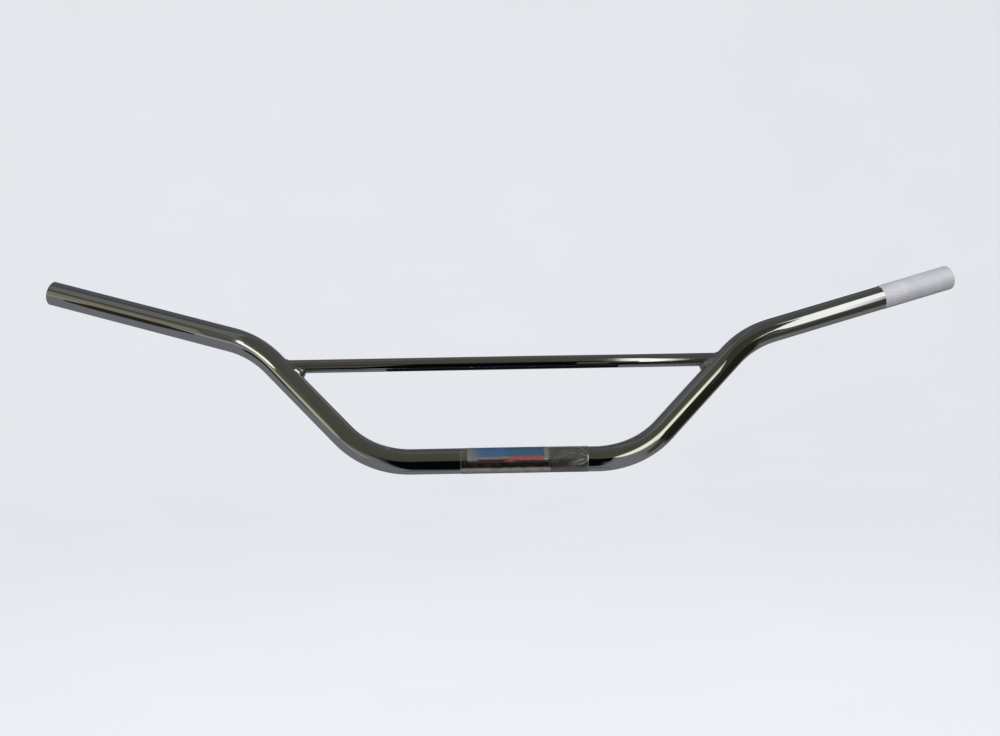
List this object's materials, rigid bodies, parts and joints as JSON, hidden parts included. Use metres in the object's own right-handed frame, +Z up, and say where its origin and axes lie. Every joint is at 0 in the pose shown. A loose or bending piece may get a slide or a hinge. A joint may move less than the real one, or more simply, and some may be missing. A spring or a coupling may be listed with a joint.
{
  "type": "motorcycle handlebar",
  "caption": "Chromed steel motorcycle handlebar with high rise, a welded crossbar, a knurled grip end, a printed label under clear film and a hazy tape band.",
  "frame": {"origin": "middle of the straight clamp stretch, on the tube's axis", "axes": "+X across the bar to the rider's left hand, which is the knurled end; +Y back towards the rider; +Z up, with the legs leaning back 22 degrees as mounted"},
  "size_m": [0.8459, 0.1162, 0.1801],
  "materials": {
    "chrome": "bright decorative chrome, mirror smooth with fine handling scratches, satin over the knurled end",
    "weld_chrome": "chromed over a rippled weld bead",
    "print_film": "printed film with a plain blue field, a red stripe and a pale border, no lettering",
    "clear_film": "clear glossy film",
    "hazy_film": "hazy crinkled packing tape"
  },
  "bodies": {
    "root": {"main_tube": "chrome", "crossbar": "chrome", "weld_bead_left_hand": "weld_chrome", "weld_bead_right_hand": "weld_chrome", "printed_label": "print_film", "clear_overlay_film": "clear_film", "hazy_tape_band": "hazy_film"}
  },
  "joints": []
}
